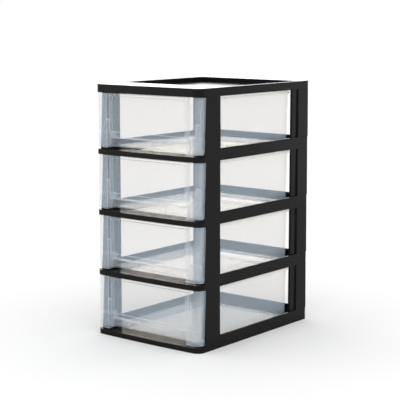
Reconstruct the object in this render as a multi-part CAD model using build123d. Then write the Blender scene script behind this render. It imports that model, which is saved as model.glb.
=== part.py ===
from build123d import *
import math
import os

# A tower of four clear drawers in a black frame of plugged-together mouldings.
# Millimetres. The origin is the middle of the footprint, on the floor. +Z is up and the drawers open along -Y.
# Depths are measured back from the front corners, where the bowed front meets the sides.
# Heights inside a tier are measured from the underside of the frame that its drawer stands in.

# ---- overall ----
TIERS = 4
WIDTH = 260.0
SIDE_LENGTH = 355.0
FRONT_BOW = 3.0
TIER_PITCH = 119.5
FRONT_CORNER_RADIUS = 15.0
REAR_CORNER_RADIUS = 5.0

# ---- ring frames ----
FRAME_WALL = 3.0
WEB = 2.5
RIB = 1.6
RIB_PITCH = 140.0
LIP_HEIGHT = 10.0
LEDGE_STEP = 2.5
SHELF_RAIL_HEIGHT = 23.0
BASE_RAIL_HEIGHT = 25.0
SIDE_RAIL_WIDTH = 24.0
FRONT_RAIL_DEPTH = 36.0
REAR_RAIL_DEPTH = 22.0
OPENING_CORNER_RADIUS = 6.0
FOOT_PAD_LENGTH = 24.0
FOOT_PAD_INSET = 66.0

# ---- top frame ----
TOP_HEIGHT = 16.0
TRAY_DEPTH = 10.0
TRAY_RIM = 6.0
TRAY_FRONT_BAND = 75.0
TRAY_REAR_BAND = 28.0
TRAY_CORNER_RADIUS = 3.0
TRAY_RIB_PITCH_ACROSS = 45.0
TRAY_RIB_PITCH_ALONG = 65.0

# ---- posts ----
POST_WALL = 2.5
POST_THICKNESS = 8.0
POST_SET_IN_BOTTOM = 0.2
POST_SET_IN_TOP = 1.0
POST_EDGE_RADIUS = 1.2
POST_RIBS = 1
FRONT_POST_START = 16.0
FRONT_POST_LEAN = 4.5
FRONT_POST_LENGTH = 48.0
REAR_POST_LENGTH = 55.0
REAR_POST_FLANGE_LENGTH = 18.0
REAR_POST_FLANGE_SET_BACK = 3.5
REAR_POST_LEG = 16.0
SPIGOT_THICKNESS = 3.0
SPIGOT_CLEARANCE = 0.2
SPIGOT_TOP_GAP = 1.0

# ---- drawers ----
DRAWER_WALL = 2.0
DRAWER_TOP_GAP = 1.5
DRAWER_FRONT_LIFT = 4.0
FRONT_SET_IN = 1.0
PILLAR_WIDTH = 32.0
PILLAR_GAP_TO_POST = 0.5
PILLAR_FOOT_RADIUS = 4.0
FRONT_TOP_STRIP = 4.5
STRIP_SET_IN = 8.0
STRIP_WIDTH = 8.0
WINDOW_STEP = 1.5
WINDOW_THICKNESS = 1.8
WINDOW_CORNER_RADIUS = 6.0
BAND_HEIGHT = 12.0
RECESS_HEIGHT = 18.5
RECESS_DEPTH = 22.0
RECESS_RADIUS = 8.0
RIM_GAP_TO_POST = 0.5
TUB_PAST_REAR_POST = 5.0
TUB_DRAFT = 1.2
TUB_CORNER_RADIUS = 9.0
TUB_FLOOR_BEVEL = 4.0
RIM_WIDTH = 3.5
RIM_THICKNESS = 2.0
SKIRT_HEIGHT = 6.0
SKIRT_THICKNESS = 1.6
GLIDE_HEIGHT = 1.0
GLIDE_WIDTH = 2.0
GLIDE_CLEARANCE = 0.3
TAB_CATCH = 2.4
TAB_LENGTH = 11.0
TAB_GAP_TO_REAR_POST = 2.0

# ---- worked out ----
HALF = WIDTH / 2
FRONT_Y = -(SIDE_LENGTH - FRONT_BOW) / 2
APEX_Y = FRONT_Y - FRONT_BOW
REAR_Y = FRONT_Y + SIDE_LENGTH
TOP_Z = TIERS * TIER_PITCH
LEDGE_TOP = LIP_HEIGHT + LEDGE_STEP
OPENING_HALF = HALF - SIDE_RAIL_WIDTH
OPENING_END = SIDE_LENGTH - REAR_RAIL_DEPTH
TRAY_END = SIDE_LENGTH - TRAY_REAR_BAND
POST_INNER_X = HALF - POST_THICKNESS
FRONT_POST_END = FRONT_POST_START + FRONT_POST_LENGTH
REAR_POST_START = SIDE_LENGTH - REAR_POST_LENGTH
REAR_POST_FACE_START = REAR_POST_START + REAR_POST_FLANGE_LENGTH
REAR_POST_END = SIDE_LENGTH - POST_SET_IN_TOP
SPIGOT_OUTER_X = HALF - FRAME_WALL - SPIGOT_CLEARANCE
FRONT_SPIGOT_START = FRONT_POST_START + FRONT_POST_LEAN + 2 * POST_WALL
FRONT_SPIGOT_END = FRONT_POST_END - 2 * POST_WALL
REAR_SPIGOT_START = TRAY_END + 2 * WEB
REAR_SPIGOT_END = SIDE_LENGTH - REAR_CORNER_RADIUS - WEB
RIM_HALF = POST_INNER_X - RIM_GAP_TO_POST
TUB_HALF = RIM_HALF - RIM_WIDTH
TUB_END = REAR_POST_START + TUB_PAST_REAR_POST
PILLAR_INNER_X = HALF - PILLAR_WIDTH
DRAWER_TOP = TIER_PITCH - DRAWER_TOP_GAP
DRAWER_BOTTOM = LIP_HEIGHT + DRAWER_FRONT_LIFT
BAND_BOTTOM = DRAWER_BOTTOM + RECESS_HEIGHT
BAND_TOP = BAND_BOTTOM + BAND_HEIGHT
WINDOW_SET_IN = STRIP_SET_IN + WINDOW_STEP
WINDOW_BACK_SET_IN = WINDOW_SET_IN + WINDOW_THICKNESS
GLIDE_BOTTOM = LEDGE_TOP + GLIDE_CLEARANCE
TUB_BOTTOM = GLIDE_BOTTOM + GLIDE_HEIGHT
FOREMOST = -2 * FRONT_BOW - DRAWER_WALL
OVER = 5.0


def y_at(depth):
    return FRONT_Y + depth


def post_front(height):
    """Depth of the front post's front edge, which leans back as it rises from the lip."""
    rise = (height - LIP_HEIGHT) / (TIER_PITCH - LIP_HEIGHT)
    return FRONT_POST_START + FRONT_POST_LEAN * rise


def block(x0, x1, depth0, depth1, z0, z1):
    """A box between two widths, two depths and two heights."""
    return Pos((x0 + x1) / 2, (y_at(depth0) + y_at(depth1)) / 2, (z0 + z1) / 2) * Box(
        x1 - x0, depth1 - depth0, z1 - z0
    )


def outline(inset=0.0):
    """The tower's plan: straight sides, a bowed front and rounded corners, drawn in by inset."""
    edges = Curve() + [
        Line((-HALF, REAR_Y), (-HALF, FRONT_Y)),
        ThreePointArc((-HALF, FRONT_Y), (0, APEX_Y), (HALF, FRONT_Y)),
        Line((HALF, FRONT_Y), (HALF, REAR_Y)),
        Line((HALF, REAR_Y), (-HALF, REAR_Y)),
    ]
    plan = make_face(edges)
    plan = fillet(plan.vertices().sort_by(Axis.Y)[:2], FRONT_CORNER_RADIUS)
    plan = fillet(plan.vertices().sort_by(Axis.Y)[-2:], REAR_CORNER_RADIUS)
    return offset(plan, -inset) if inset else plan


def prism(plan, z0, z1):
    return extrude(Pos(0, 0, z0) * plan, z1 - z0)


def rounded_plan(half_width, depth0, depth1, radius):
    """A rounded rectangle, centred across the tower, between two depths."""
    middle = (y_at(depth0) + y_at(depth1)) / 2
    return Pos(0, middle) * RectangleRounded(2 * half_width, depth1 - depth0, radius)


def side_profile(points, x0, x1):
    """A prism across the tower, from x0 to x1, whose profile is given as (depth, height) points."""
    face = make_face(Polyline(*[(y_at(depth), height) for depth, height in points], close=True))
    return extrude(Plane.YZ.offset(x0) * face, x1 - x0)


def front_profile(points, depth0, depth1):
    """A prism along the tower, between two depths, whose profile is given as (width, height) points."""
    face = make_face(Polyline(*points, close=True))
    plane = Plane(origin=(0, y_at(depth0), 0), x_dir=(1, 0, 0), z_dir=(0, -1, 0))
    return extrude(plane * face, -(depth1 - depth0))


def spread(start, end, pitch):
    """Evenly spaced places between start and end, no further apart than pitch, without the ends."""
    gaps = math.ceil((end - start) / pitch)
    return [start + (end - start) * i / gaps for i in range(1, gaps)]


# ---- ring frames: the base and the shelves ----


def side_ribs(top):
    """Ribs across the side channels; pairs of them stand each side of a post's spigot and hold it."""
    depths = [
        FRONT_SPIGOT_START - RIB,
        *spread(FRONT_SPIGOT_END, REAR_SPIGOT_START, RIB_PITCH),
        FRONT_SPIGOT_END + RIB,
        REAR_SPIGOT_START - RIB,
    ]
    x0, x1 = OPENING_HALF + WEB / 2, HALF - FRAME_WALL / 2
    right = [block(x0, x1, depth - RIB / 2, depth + RIB / 2, 0, top) for depth in depths]
    left = [block(-x1, -x0, depth - RIB / 2, depth + RIB / 2, 0, top) for depth in depths]
    return right + left


def end_ribs(depth0, depth1, top):
    """Ribs across the front or the rear channel."""
    places = spread(-OPENING_HALF, OPENING_HALF, RIB_PITCH)
    return [block(x - RIB / 2, x + RIB / 2, depth0, depth1, 0, top) for x in places]


def ring_frame(rail_height):
    """A ring of channels, open underneath: a low lip in front, tall side and rear rails, runner ledges."""
    opening = rounded_plan(OPENING_HALF, FRONT_RAIL_DEPTH, OPENING_END, OPENING_CORNER_RADIUS)
    inner_half = OPENING_HALF + WEB
    inner_wall = block(
        -inner_half, inner_half, FRONT_RAIL_DEPTH - WEB, OPENING_END + WEB, 0, LEDGE_TOP
    )
    within = outline(FRAME_WALL / 2)
    wall = prism(outline(), 0, rail_height) - prism(outline(FRAME_WALL), 0, rail_height)
    ledge = prism(within, LEDGE_TOP - WEB, LEDGE_TOP)
    lip = prism(within, LIP_HEIGHT - WEB, LIP_HEIGHT)
    corner_lip = lip & block(-HALF, HALF, FOREMOST, FRONT_POST_START + WEB, 0, LIP_HEIGHT)
    middle_lip = lip & block(-inner_half, inner_half, FOREMOST, FRONT_RAIL_DEPTH, 0, LIP_HEIGHT)
    ring = wall + ledge + inner_wall + side_ribs(LEDGE_TOP - WEB / 2)
    ring += end_ribs(OPENING_END + WEB / 2, SIDE_LENGTH - FRAME_WALL / 2, LEDGE_TOP - WEB / 2)
    ring -= side_profile(
        [
            (FOREMOST, LIP_HEIGHT),
            (post_front(LIP_HEIGHT), LIP_HEIGHT),
            (post_front(rail_height), rail_height),
            (FOREMOST, rail_height),
        ],
        -HALF,
        HALF,
    )
    ring -= block(-OPENING_HALF, OPENING_HALF, FOREMOST, FRONT_RAIL_DEPTH, LIP_HEIGHT, rail_height)
    ring += [corner_lip, middle_lip]
    ring += end_ribs(0, FRONT_RAIL_DEPTH - WEB / 2, LIP_HEIGHT - WEB / 2)
    return ring - prism(opening, -OVER, rail_height)


def foot_pads():
    """Flat webs that close the base's side channels underneath, for the tower to stand on."""
    depths = (FOOT_PAD_INSET, SIDE_LENGTH - FOOT_PAD_INSET - FOOT_PAD_LENGTH)
    x0, x1 = OPENING_HALF + WEB / 2, HALF - FRAME_WALL / 2
    right = [block(x0, x1, depth, depth + FOOT_PAD_LENGTH, 0, WEB) for depth in depths]
    left = [block(-x1, -x0, depth, depth + FOOT_PAD_LENGTH, 0, WEB) for depth in depths]
    return right + left


# ---- top frame ----


def top_frame():
    """A shallow lid, open underneath, with a sunken tray, a rib grid under it and ribbed bands round it."""
    tray_half = HALF - TRAY_RIM
    tray = rounded_plan(tray_half, TRAY_FRONT_BAND, TRAY_END, TRAY_CORNER_RADIUS)
    tray_block = block(-HALF, HALF, TRAY_FRONT_BAND - WEB, TRAY_END + WEB, 0, TOP_HEIGHT)
    floor_top = TOP_HEIGHT - TRAY_DEPTH
    floor_bottom = floor_top - WEB
    lid = prism(outline(), 0, TOP_HEIGHT)
    lid -= prism(outline(FRAME_WALL), 0, TOP_HEIGHT - WEB) - tray_block
    lid -= block(-HALF + FRAME_WALL, HALF - FRAME_WALL, TRAY_FRONT_BAND, TRAY_END, 0, floor_bottom)
    lid -= prism(tray, floor_top, TOP_HEIGHT)
    rib_top = floor_top - WEB / 2
    ribs = []
    for x in spread(-HALF, HALF, TRAY_RIB_PITCH_ACROSS):
        ribs.append(block(x - RIB / 2, x + RIB / 2, 0, SIDE_LENGTH - RIB, 0, rib_top))
    for depth in spread(TRAY_FRONT_BAND, TRAY_END, TRAY_RIB_PITCH_ALONG):
        ribs.append(block(-HALF + RIB, HALF - RIB, depth - RIB / 2, depth + RIB / 2, 0, rib_top))
    return lid + ribs


# ---- posts ----


def tapered_bar(depth0, depth1, set_in_bottom, set_in_top, z0, z1):
    """A bar beside the right-hand window: its inner face is upright and its outer face leans in."""
    profile = [
        (POST_INNER_X, z0),
        (HALF - set_in_bottom, z0),
        (HALF - set_in_top, z1),
        (POST_INNER_X, z1),
    ]
    return front_profile(profile, depth0, depth1)


def pockets(depth0, depth1, set_in_bottom, set_in_top, z0, z1):
    """The hollows of a channel post, open towards the drawer, with a stiffening rib left between them."""
    lean = (set_in_top - set_in_bottom) / (z1 - z0)
    bay = (z1 - z0 - POST_WALL) / (POST_RIBS + 1)
    hollows = []
    for i in range(POST_RIBS + 1):
        low = z0 + POST_WALL + i * bay
        high = low + bay - (POST_WALL if i == POST_RIBS else RIB)
        skin_low = HALF - set_in_bottom - lean * (low - z0) - POST_WALL
        skin_high = HALF - set_in_bottom - lean * (high - z0) - POST_WALL
        mouth = POST_INNER_X - OVER
        profile = [(mouth, low), (skin_low, low), (skin_high, high), (mouth, high)]
        hollows.append(front_profile(profile, depth0, depth1))
    return hollows


def spigots(depth0, depth1, z0, z1):
    """The foot that stands on the ledge below and the head that plugs into the rail above."""
    x0 = SPIGOT_OUTER_X - SPIGOT_THICKNESS
    head_top = z1 + LEDGE_TOP - WEB - SPIGOT_TOP_GAP
    foot = block(x0, SPIGOT_OUTER_X, depth0, depth1, LEDGE_TOP, z0)
    head = block(x0, SPIGOT_OUTER_X, depth0, depth1, z1, head_top)
    return [foot, head]


def rounded_outer_edges(bar):
    """Rounds the two upright edges of a bar's outer face, the foremost and the rearmost of the four."""
    outer = bar.faces().sort_by(Axis.X)[-1].edges().sort_by(Axis.Y)
    return fillet([outer[0], outer[-1]], POST_EDGE_RADIUS)


def front_post(rail_height):
    """The right-hand front post: its front edge leans back as it rises, beside the drawer's pillar."""
    z0, z1 = rail_height, TIER_PITCH
    start_low, start_high = post_front(z0), post_front(z1)
    bar = tapered_bar(start_low, FRONT_POST_END, POST_SET_IN_BOTTOM, POST_SET_IN_TOP, z0, z1)
    bar -= side_profile([(start_low, z0), (start_high, z1), (start_low, z1)], 0, HALF)
    bar = rounded_outer_edges(bar)
    bar -= pockets(
        start_high + POST_WALL, FRONT_POST_END - POST_WALL, POST_SET_IN_BOTTOM, POST_SET_IN_TOP, z0, z1
    )
    return bar + spigots(FRONT_SPIGOT_START, FRONT_SPIGOT_END, z0, z1)


def rear_post(rail_height):
    """The right-hand rear post: a wide face with a set-back flange in front and a leg round the corner."""
    z0, z1 = rail_height, TIER_PITCH
    set_ins = (POST_SET_IN_BOTTOM, POST_SET_IN_TOP)
    flange_set_ins = (REAR_POST_FLANGE_SET_BACK, REAR_POST_FLANGE_SET_BACK)
    face = rounded_outer_edges(tapered_bar(REAR_POST_FACE_START, REAR_POST_END, *set_ins, z0, z1))
    face -= pockets(REAR_POST_FACE_START + POST_WALL, REAR_POST_END - POST_WALL, *set_ins, z0, z1)
    flange = tapered_bar(REAR_POST_START, REAR_POST_FACE_START + POST_WALL, *flange_set_ins, z0, z1)
    flange -= pockets(REAR_POST_START + POST_WALL, REAR_POST_FACE_START, *flange_set_ins, z0, z1)
    leg = block(
        HALF - REAR_POST_LEG, POST_INNER_X + POST_WALL, REAR_POST_END - POST_WALL, REAR_POST_END, z0, z1
    )
    return face + flange + leg + spigots(REAR_SPIGOT_START, REAR_SPIGOT_END, z0, z1)


# ---- drawers ----


def pillar_rear(height):
    """Depth of the drawer front's rear face, a small gap in front of the leaning front post."""
    return post_front(height) - PILLAR_GAP_TO_POST


def front_zone(inset, z0, z1, back_off=0.0, foot_radius=0.0):
    """The drawer front's volume: the tower's plan drawn in by inset, cut off at the leaning rear face."""
    corners = [
        (y_at(FOREMOST), z0),
        (y_at(pillar_rear(z0) - back_off), z0),
        (y_at(pillar_rear(z1) - back_off), z1),
        (y_at(FOREMOST), z1),
    ]
    side_view = make_face(Polyline(*corners, close=True))
    if foot_radius:
        rear_foot = side_view.vertices().sort_by(Axis.Y)[:2].sort_by(Axis.X)[-1]
        side_view = fillet(rear_foot, foot_radius)
    return prism(outline(inset), z0, z1) & extrude(Plane.YZ.offset(-HALF) * side_view, WIDTH)


def tub_lean(height):
    """How far a tub wall leans in over a height."""
    return height * math.tan(math.radians(TUB_DRAFT))


def tub_solid(half_width, depth1, top, bottom, radius, bevel):
    """A tub-shaped solid with leaning sides and back, rounded corners and a bevelled floor edge."""
    lean = tub_lean(top - bottom)
    front_view = [
        (-half_width, top),
        (half_width, top),
        (half_width - lean, bottom),
        (-half_width + lean, bottom),
    ]
    side_view = [(FOREMOST, top), (depth1, top), (depth1 - lean, bottom), (FOREMOST, bottom)]
    tub = front_profile(front_view, FOREMOST, depth1) & side_profile(side_view, -half_width, half_width)
    rear_edges = tub.faces().sort_by(Axis.Y)[-1].edges().sort_by(Axis.X)
    tub = fillet([rear_edges[0], rear_edges[-1]], radius)
    return chamfer(tub.faces().sort_by(Axis.Z)[0].edges().sort_by(Axis.Y)[1:], bevel)


def recess_profile(grow):
    """Side view of the finger recess: flat roof, rounded inner corner and upright back, grown by grow."""
    roof = BAND_BOTTOM + grow
    front, back = y_at(FOREMOST), y_at(RECESS_DEPTH + grow)
    radius = RECESS_RADIUS + grow
    low = DRAWER_BOTTOM - OVER
    edges = Curve() + [
        Line((front, low), (back, low)),
        Line((back, low), (back, roof - radius)),
        RadiusArc((back, roof - radius), (back - radius, roof), -radius),
        Line((back - radius, roof), (front, roof)),
        Line((front, roof), (front, low)),
    ]
    return make_face(edges)


def recess_solid(half_width, grow=0.0):
    return extrude(Plane.YZ.offset(-half_width) * recess_profile(grow), 2 * half_width)


def behind_front(solid):
    """Keeps what lies behind the drawer front, bedded in its rear wall."""
    start = pillar_rear(DRAWER_TOP) - DRAWER_WALL
    return solid & block(-HALF, HALF, start, SIDE_LENGTH, 0, TIER_PITCH)


def tub_shell():
    """The outside of the tub, filled."""
    outer = tub_solid(TUB_HALF, TUB_END, DRAWER_TOP, TUB_BOTTOM, TUB_CORNER_RADIUS, TUB_FLOOR_BEVEL)
    return behind_front(outer)


def tub_cavity():
    """The tub's inside, behind the finger recess, from its floor up."""
    inner = tub_solid(
        TUB_HALF - DRAWER_WALL,
        TUB_END - DRAWER_WALL,
        DRAWER_TOP + OVER,
        TUB_BOTTOM + DRAWER_WALL,
        TUB_CORNER_RADIUS - DRAWER_WALL,
        TUB_FLOOR_BEVEL - DRAWER_WALL * (2 - math.sqrt(2)),
    )
    return inner & block(-HALF, HALF, RECESS_DEPTH + DRAWER_WALL, SIDE_LENGTH, 0, TIER_PITCH + OVER)


def front_cavity():
    """The drawer's inside above the pull band: it runs forward to the window and into both pillars."""
    top = DRAWER_TOP + OVER
    link_half = TUB_HALF - DRAWER_WALL - TUB_CORNER_RADIUS
    pillars = front_zone(FRONT_SET_IN + DRAWER_WALL, BAND_TOP, top, DRAWER_WALL)
    window_back = prism(outline(WINDOW_BACK_SET_IN), BAND_TOP, top)
    window_zone = block(
        -PILLAR_INNER_X - DRAWER_WALL, PILLAR_INNER_X + DRAWER_WALL, -OVER, RECESS_DEPTH, BAND_TOP, top
    )
    pillars -= window_zone - window_back
    link = prism(outline(WINDOW_BACK_SET_IN), BAND_TOP, top) & block(
        -link_half, link_half, 0, RECESS_DEPTH + 2 * DRAWER_WALL, BAND_TOP, top
    )
    return pillars + link


def band_pocket():
    """The space behind the pull band, over the roof of the finger recess."""
    half_width = PILLAR_INNER_X - DRAWER_WALL
    space = block(
        -half_width, half_width, 0, RECESS_DEPTH + 2 * DRAWER_WALL, TUB_BOTTOM + DRAWER_WALL, BAND_TOP
    )
    space &= prism(outline(WINDOW_BACK_SET_IN), 0, BAND_TOP)
    return space - recess_solid(HALF, DRAWER_WALL)


def pillar_pockets():
    """The hollow feet of both pillars, open underneath."""
    web_bottom = BAND_TOP - DRAWER_WALL
    foot = front_zone(FRONT_SET_IN + DRAWER_WALL, DRAWER_BOTTOM - OVER, web_bottom, DRAWER_WALL)
    keep_out = block(
        -PILLAR_INNER_X - DRAWER_WALL, PILLAR_INNER_X + DRAWER_WALL, -OVER, RECESS_DEPTH, 0, TIER_PITCH
    )
    return foot - keep_out


def window_cut():
    """What is cut from the front: the recessed field with its pull band, then the deeper window in it."""
    top = DRAWER_TOP - FRONT_TOP_STRIP
    field = block(-PILLAR_INNER_X, PILLAR_INNER_X, FOREMOST, RECESS_DEPTH, BAND_BOTTOM - OVER, top)
    field -= prism(outline(STRIP_SET_IN), 0, TIER_PITCH)
    height = top - BAND_TOP
    pane = Pos(0, BAND_TOP + height / 2) * Rectangle(2 * (PILLAR_INNER_X - STRIP_WIDTH), height)
    pane = fillet(pane.vertices().sort_by(Axis.Y)[:2], WINDOW_CORNER_RADIUS)
    window = extrude(Plane.XZ.offset(-y_at(FOREMOST)) * pane, FOREMOST - RECESS_DEPTH)
    window -= prism(outline(WINDOW_SET_IN), 0, TIER_PITCH)
    return [field, window]


def rim():
    """The rim round the tub, still filled inside, with the skirt turned down along its edge."""

    def plate(grow, z0):
        plan = rounded_plan(TUB_HALF + grow, -TUB_END - grow, TUB_END + grow, TUB_CORNER_RADIUS + grow)
        return behind_front(prism(plan, z0, DRAWER_TOP))

    skirt = plate(RIM_WIDTH, DRAWER_TOP - SKIRT_HEIGHT) - plate(
        RIM_WIDTH - SKIRT_THICKNESS, DRAWER_TOP - SKIRT_HEIGHT
    )
    return plate(RIM_WIDTH, DRAWER_TOP - RIM_THICKNESS) + skirt


def stop_tab(side):
    """The tab at the back of the rim that meets the front post when the drawer is fully out."""
    x0, x1 = sorted((side * (RIM_HALF - SKIRT_THICKNESS), side * (POST_INNER_X + TAB_CATCH)))
    end = REAR_POST_START - TAB_GAP_TO_REAR_POST
    return block(x0, x1, end - TAB_LENGTH, end, DRAWER_TOP - SKIRT_HEIGHT, DRAWER_TOP)


def glide(side):
    """A thin rib along the edge of the tub's flat underside that slides on the ledge."""
    floor_half = TUB_HALF - tub_lean(DRAWER_TOP - TUB_BOTTOM) - TUB_FLOOR_BEVEL
    x = side * (floor_half - GLIDE_WIDTH / 2)
    start = RECESS_DEPTH + DRAWER_WALL
    end = TUB_END - DRAWER_WALL - TUB_CORNER_RADIUS
    x0, x1 = x - GLIDE_WIDTH / 2, x + GLIDE_WIDTH / 2
    return block(x0, x1, start, end, GLIDE_BOTTOM, TUB_BOTTOM + GLIDE_HEIGHT)


def drawer():
    """One clear drawer in one moulding, for the tier that stands on the floor."""
    body = front_zone(FRONT_SET_IN, DRAWER_BOTTOM, DRAWER_TOP, foot_radius=PILLAR_FOOT_RADIUS)
    body += [tub_shell(), rim()]
    body -= recess_solid(PILLAR_INNER_X)
    body -= window_cut()
    body -= [tub_cavity(), front_cavity(), band_pocket(), pillar_pockets()]
    body += [stop_tab(side) for side in (-1, 1)]
    body += [glide(side) for side in (-1, 1)]
    return body


# ---- the tower ----


def save(part, name, lift=0.0):
    export_step(Pos(0, 0, lift) * part, f"parts/{name}.step")


def build():
    os.makedirs("parts", exist_ok=True)
    save(ring_frame(BASE_RAIL_HEIGHT) + foot_pads(), "base_frame")
    save(top_frame(), "top_frame", TOP_Z)
    shelf = ring_frame(SHELF_RAIL_HEIGHT)
    one_drawer = drawer()
    for tier in range(1, TIERS + 1):
        lift = (TIERS - tier) * TIER_PITCH
        rail_height = BASE_RAIL_HEIGHT if tier == TIERS else SHELF_RAIL_HEIGHT
        if tier < TIERS:
            save(shelf, f"shelf_frame_{tier}", lift)
        save(one_drawer, f"drawer_{tier}", lift)
        for place, post in (("front", front_post(rail_height)), ("rear", rear_post(rail_height))):
            save(post, f"{place}_right_post_{tier}", lift)
            save(mirror(post, Plane.YZ), f"{place}_left_post_{tier}", lift)


build()
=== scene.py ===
import math

import bpy
from mathutils import Matrix, Vector

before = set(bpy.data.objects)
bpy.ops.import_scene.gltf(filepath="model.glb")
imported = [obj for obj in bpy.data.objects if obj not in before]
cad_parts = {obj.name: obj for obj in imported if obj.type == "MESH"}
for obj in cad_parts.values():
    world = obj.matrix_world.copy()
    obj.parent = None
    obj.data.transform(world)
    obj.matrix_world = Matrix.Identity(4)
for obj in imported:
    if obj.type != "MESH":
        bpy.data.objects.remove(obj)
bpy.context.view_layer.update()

# Metres, radians and watts. The tower stands on the floor at the origin and its drawers open towards -Y.

# ---- the photograph's camera: its sensor is in millimetres, its image in pixels ----

PHOTO_SIZE = 400
SENSOR = 36.0
FOCAL_PIXELS = 1246.4
YAW, PITCH, ROLL = 0.67291, -0.1514, 0.00046
DISTANCE = 2.53683
ASIDE, ABOVE = 0.00713, -0.25528
CLIP_START, CLIP_END = 0.05, 50.0

# ---- studio ----

HORIZON_LIGHT, SKY_LIGHT = 1.0, 1.2
SKY_STARTS = (0.03, 0.17)
SEE_THROUGH_BOUNCES = 40
FLOOR_REACH = 40.0
FLOOR_SHADES = ((0.88, 0.88, 0.88), (0.90, 0.90, 0.90))
FLOOR_CLOUD_SCALE = 3.0
FLOOR_ROUGHNESS = 0.9
FLOOR_SPECULAR = 0.1

# ---- black plastic ----

BLACK_SHADES = ((0.0075, 0.0074, 0.0076), (0.0100, 0.0098, 0.0102))
BLACK_ROUGHNESS = (0.15, 0.24)
BLACK_SPECULAR = 0.06
BLACK_FLOW_SCALE, BLACK_GRAIN_SCALE = 9.0, 1400.0
BLACK_GRAIN_STRENGTH, BLACK_GRAIN_DEPTH = 0.08, 0.0001
BLACK_EDGE_RADIUS = 0.0006

# ---- clear plastic ----

PASSED_LIGHT = (0.999, 0.976, 0.950)
HAZE_SHADES = ((0.66, 0.82, 0.99), (0.70, 0.85, 1.0))
# Painted highlight: the near-white colour laid along the drawers' sharp edges.
PAINTED_EDGE_HIGHLIGHT_SHADE = (0.98, 0.98, 0.99)
HAZE_ROUGHNESS = (0.16, 0.24)
HAZE_SHARE = (0.12, 0.14)
# Painted highlight: the extra haze share along the drawers' sharp edges, which turns them into light
# lines.
PAINTED_HIGHLIGHT_AT_EDGES = 0.6
HAZE_AT_GRAZING, GRAZING_POWER = 0.45, 4.0
MOST_HAZE = 0.9
CLEAR_FLOW_SCALE = 14.0
CLEAR_WAVE_STRENGTH, CLEAR_WAVE_DEPTH = 0.02, 0.0003
CLEAR_EDGE_RADIUS = 0.0012

# ---- rounded edges ----

EDGE_SAMPLES = 8
# Painted edge highlight: its mask is full where the softened surface direction turns this far from the
# true one.
PAINTED_HIGHLIGHT_FULL_AT = 0.70


def make_camera():
    """A camera that sees the tower as the photograph does, from fitted angles and distances."""
    ahead = Vector(
        (-math.sin(YAW) * math.cos(PITCH), math.cos(YAW) * math.cos(PITCH), math.sin(PITCH))
    )
    level = Vector((math.cos(YAW), math.sin(YAW), 0.0))
    upward = level.cross(ahead)
    right = level * math.cos(ROLL) + upward * math.sin(ROLL)
    up = upward * math.cos(ROLL) - level * math.sin(ROLL)
    data = bpy.data.cameras.new("camera")
    data.sensor_width = SENSOR
    data.lens = FOCAL_PIXELS / PHOTO_SIZE * SENSOR
    data.clip_start, data.clip_end = CLIP_START, CLIP_END
    camera = bpy.data.objects.new("camera", data)
    turn = Matrix((right, up, -ahead)).transposed().to_4x4()
    place = -(right * ASIDE + up * ABOVE + ahead * DISTANCE)
    camera.matrix_world = Matrix.Translation(place) @ turn
    bpy.context.scene.collection.objects.link(camera)
    bpy.context.scene.camera = camera


# ---- node helpers ----


def new_material(name):
    """An empty material with its node list, its link list and its surface socket."""
    mat = bpy.data.materials.new(name)
    mat.use_nodes = True
    nodes, links = mat.node_tree.nodes, mat.node_tree.links
    nodes.clear()
    surface = nodes.new("ShaderNodeOutputMaterial").inputs["Surface"]
    return mat, nodes, links, surface


def noise(nodes, links, scale, detail=2.0):
    """A noise that is fixed to the object, from 0 to 1."""
    coords = nodes.new("ShaderNodeTexCoord").outputs["Object"]
    n = nodes.new("ShaderNodeTexNoise")
    n.inputs["Scale"].default_value = scale
    n.inputs["Detail"].default_value = detail
    links.new(coords, n.inputs["Vector"])
    return n.outputs["Fac"]


def remap(nodes, links, value, low, high, start=0.0, end=1.0):
    """Takes the stretch from start to end of a value to the stretch from low to high."""
    n = nodes.new("ShaderNodeMapRange")
    n.inputs["From Min"].default_value = start
    n.inputs["From Max"].default_value = end
    n.inputs["To Min"].default_value = low
    n.inputs["To Max"].default_value = high
    links.new(value, n.inputs["Value"])
    return n.outputs["Result"]


def maths(nodes, links, operation, first, second=None):
    """One sum on one or two values; each is given as a number or as another node's value."""
    n = nodes.new("ShaderNodeMath")
    n.operation = operation
    for socket, value in zip(n.inputs, (first, second)):
        if value is None:
            continue
        if isinstance(value, (int, float)):
            socket.default_value = value
        else:
            links.new(value, socket)
    return n.outputs["Value"]


def mix_colour(nodes, links, value, first, second):
    """Mixes two colours; each is given as three numbers or as another node's colour."""
    n = nodes.new("ShaderNodeMix")
    n.data_type = "RGBA"
    factor, from_colour, to_colour = n.inputs[0], n.inputs[6], n.inputs[7]
    links.new(value, factor)
    for socket, colour in ((from_colour, first), (to_colour, second)):
        if isinstance(colour, tuple):
            socket.default_value = (*colour, 1.0)
        else:
            links.new(colour, socket)
    return n.outputs[2]


def rounded_normal(nodes, radius):
    """The surface's direction with its sharp edges softened."""
    n = nodes.new("ShaderNodeBevel")
    n.samples = EDGE_SAMPLES
    n.inputs["Radius"].default_value = radius
    return n.outputs["Normal"]


def painted_highlight_edge_mask(nodes, links, rounded):
    """Near 0 on flat stretches and rising towards 1 along sharp edges, within the rounding's radius: the
    mask of the clear plastic's painted edge highlight.
    """
    geometry = nodes.new("ShaderNodeNewGeometry")
    dot = nodes.new("ShaderNodeVectorMath")
    dot.operation = "DOT_PRODUCT"
    links.new(rounded, dot.inputs[0])
    links.new(geometry.outputs["True Normal"], dot.inputs[1])
    along = maths(nodes, links, "ABSOLUTE", dot.outputs["Value"])
    return remap(nodes, links, along, 1.0, 0.0, start=PAINTED_HIGHLIGHT_FULL_AT)


def bump(nodes, links, height, normal, strength, distance):
    n = nodes.new("ShaderNodeBump")
    n.inputs["Strength"].default_value = strength
    n.inputs["Distance"].default_value = distance
    links.new(height, n.inputs["Height"])
    links.new(normal, n.inputs["Normal"])
    return n.outputs["Normal"]


# ---- materials ----


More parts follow.
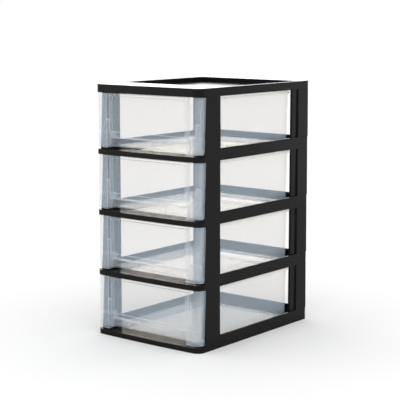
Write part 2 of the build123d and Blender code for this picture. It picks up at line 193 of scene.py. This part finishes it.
def black_plastic():
    """Satin black moulding: a fine spark-eroded grain, faint flow marks and softly rounded edges."""
    mat, nodes, links, surface = new_material("black_plastic_satin")
    shader = nodes.new("ShaderNodeBsdfPrincipled")
    links.new(shader.outputs["BSDF"], surface)
    shader.inputs["Specular IOR Level"].default_value = BLACK_SPECULAR
    flow = noise(nodes, links, BLACK_FLOW_SCALE, detail=3.0)
    grain = noise(nodes, links, BLACK_GRAIN_SCALE, detail=1.0)
    links.new(mix_colour(nodes, links, flow, *BLACK_SHADES), shader.inputs["Base Color"])
    links.new(remap(nodes, links, flow, *BLACK_ROUGHNESS), shader.inputs["Roughness"])
    rounded = rounded_normal(nodes, BLACK_EDGE_RADIUS)
    grained = bump(nodes, links, grain, rounded, BLACK_GRAIN_STRENGTH, BLACK_GRAIN_DEPTH)
    links.new(grained, shader.inputs["Normal"])
    return mat


def haze_and_painted_highlight_share(nodes, links, flow, edge_highlight):
    """How much of the clear plastic's light is scattered: a little, and more at a slant; along sharp
    edges a painted highlight adds more.
    """
    slant = nodes.new("ShaderNodeLayerWeight").outputs["Facing"]
    grazing = maths(nodes, links, "POWER", slant, GRAZING_POWER)
    share = remap(nodes, links, flow, *HAZE_SHARE)
    share = maths(nodes, links, "ADD", share, maths(nodes, links, "MULTIPLY", grazing, HAZE_AT_GRAZING))
    share = maths(nodes, links, "ADD", share, maths(nodes, links, "MULTIPLY", edge_highlight, PAINTED_HIGHLIGHT_AT_EDGES))
    return maths(nodes, links, "MINIMUM", share, MOST_HAZE)


def clear_plastic():
    """Clear drawer moulding with a faint haze: cool where it scatters light, warm where light passes,
    with a painted near-white highlight along its sharp edges.
    """
    mat, nodes, links, surface = new_material("clear_plastic_haze")
    see_through = nodes.new("ShaderNodeBsdfTransparent")
    see_through.inputs["Color"].default_value = (*PASSED_LIGHT, 1.0)
    haze = nodes.new("ShaderNodeBsdfPrincipled")
    mixed = nodes.new("ShaderNodeMixShader")
    links.new(see_through.outputs["BSDF"], mixed.inputs[1])
    links.new(haze.outputs["BSDF"], mixed.inputs[2])
    links.new(mixed.outputs["Shader"], surface)
    flow = noise(nodes, links, CLEAR_FLOW_SCALE)
    rounded = rounded_normal(nodes, CLEAR_EDGE_RADIUS)
    # Painted highlight: along sharp edges the haze turns near-white and denser, which draws light lines
    # there.
    edge_highlight = painted_highlight_edge_mask(nodes, links, rounded)
    tint = mix_colour(nodes, links, flow, *HAZE_SHADES)
    links.new(mix_colour(nodes, links, edge_highlight, tint, PAINTED_EDGE_HIGHLIGHT_SHADE), haze.inputs["Base Color"])
    links.new(remap(nodes, links, flow, *HAZE_ROUGHNESS), haze.inputs["Roughness"])
    waved = bump(nodes, links, flow, rounded, CLEAR_WAVE_STRENGTH, CLEAR_WAVE_DEPTH)
    links.new(waved, haze.inputs["Normal"])
    links.new(haze_and_painted_highlight_share(nodes, links, flow, edge_highlight), mixed.inputs[0])
    return mat


def floor_finish():
    """Matt pale paper."""
    mat, nodes, links, surface = new_material("pale_floor")
    shader = nodes.new("ShaderNodeBsdfPrincipled")
    links.new(shader.outputs["BSDF"], surface)
    shader.inputs["Roughness"].default_value = FLOOR_ROUGHNESS
    shader.inputs["Specular IOR Level"].default_value = FLOOR_SPECULAR
    cloud = noise(nodes, links, FLOOR_CLOUD_SCALE)
    links.new(mix_colour(nodes, links, cloud, *FLOOR_SHADES), shader.inputs["Base Color"])
    return mat


# ---- studio ----


def make_sky():
    """White surroundings that are as bright as white paper at the horizon and brighter from above."""
    world = bpy.data.worlds.new("studio")
    world.use_nodes = True
    nodes, links = world.node_tree.nodes, world.node_tree.links
    background = nodes["Background"]
    background.inputs["Color"].default_value = (1.0, 1.0, 1.0, 1.0)
    split = nodes.new("ShaderNodeSeparateXYZ")
    links.new(nodes.new("ShaderNodeTexCoord").outputs["Generated"], split.inputs["Vector"])
    ramp = remap(nodes, links, split.outputs["Z"], HORIZON_LIGHT, SKY_LIGHT, *SKY_STARTS)
    links.new(ramp, background.inputs["Strength"])
    bpy.context.scene.world = world


def make_floor():
    corners = [
        (-FLOOR_REACH, -FLOOR_REACH, 0),
        (FLOOR_REACH, -FLOOR_REACH, 0),
        (FLOOR_REACH, FLOOR_REACH, 0),
        (-FLOOR_REACH, FLOOR_REACH, 0),
    ]
    mesh = bpy.data.meshes.new("floor")
    mesh.from_pydata(corners, [], [(0, 1, 2, 3)])
    mesh.materials.append(floor_finish())
    floor = bpy.data.objects.new("floor", mesh)
    bpy.context.scene.collection.objects.link(floor)


def add_panel(lit, name, place, target, size, power):
    """A soft panel, out of the camera's sight, that lights only the given collection."""
    data = bpy.data.lights.new(name, "AREA")
    data.shape = "RECTANGLE"
    data.size, data.size_y = size
    data.energy = power
    lamp = bpy.data.objects.new(name, data)
    lamp.location = place
    aim = Vector(target) - Vector(place)
    lamp.rotation_mode = "QUATERNION"
    lamp.rotation_quaternion = aim.to_track_quat("-Z", "Y")
    lamp.visible_camera = False
    lamp.light_linking.receiver_collection = lit
    bpy.context.scene.collection.objects.link(lamp)


def make_studio():
    """A white room: pale floor, bright sky and soft panels that the black plastic mirrors."""
    scene = bpy.context.scene
    scene.view_settings.view_transform = "Standard"
    scene.cycles.transparent_max_bounces = SEE_THROUGH_BOUNCES
    make_sky()
    make_floor()
    tower = bpy.data.collections.new("tower")
    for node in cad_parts.values():
        tower.objects.link(node)
    add_panel(
        tower, "back_panel",
        place=(-1.35, 1.70, 1.25), target=(0, 0, 0.5), size=(2.4, 1.3), power=32.0,
    )
    add_panel(
        tower, "rear_right_panel",
        place=(0.75, 1.85, 0.45), target=(0.1, 0.1, 0.25), size=(1.2, 0.9), power=1.8,
    )
    add_panel(
        tower, "front_left_panel",
        place=(-1.25, -1.6, 0.6), target=(0, -0.1, 0.3), size=(1.2, 1.0), power=3.5,
    )


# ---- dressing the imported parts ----


def dress(nodes, finish):
    for node in nodes:
        mesh = node.data
        mesh.materials.clear()
        mesh.materials.append(finish)


def main():
    make_camera()
    make_studio()
    drawers = [o for name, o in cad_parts.items() if name.startswith("drawer_")]
    mouldings = [o for name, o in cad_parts.items() if not name.startswith("drawer_")]
    dress(mouldings, black_plastic())
    dress(drawers, clear_plastic())


main()
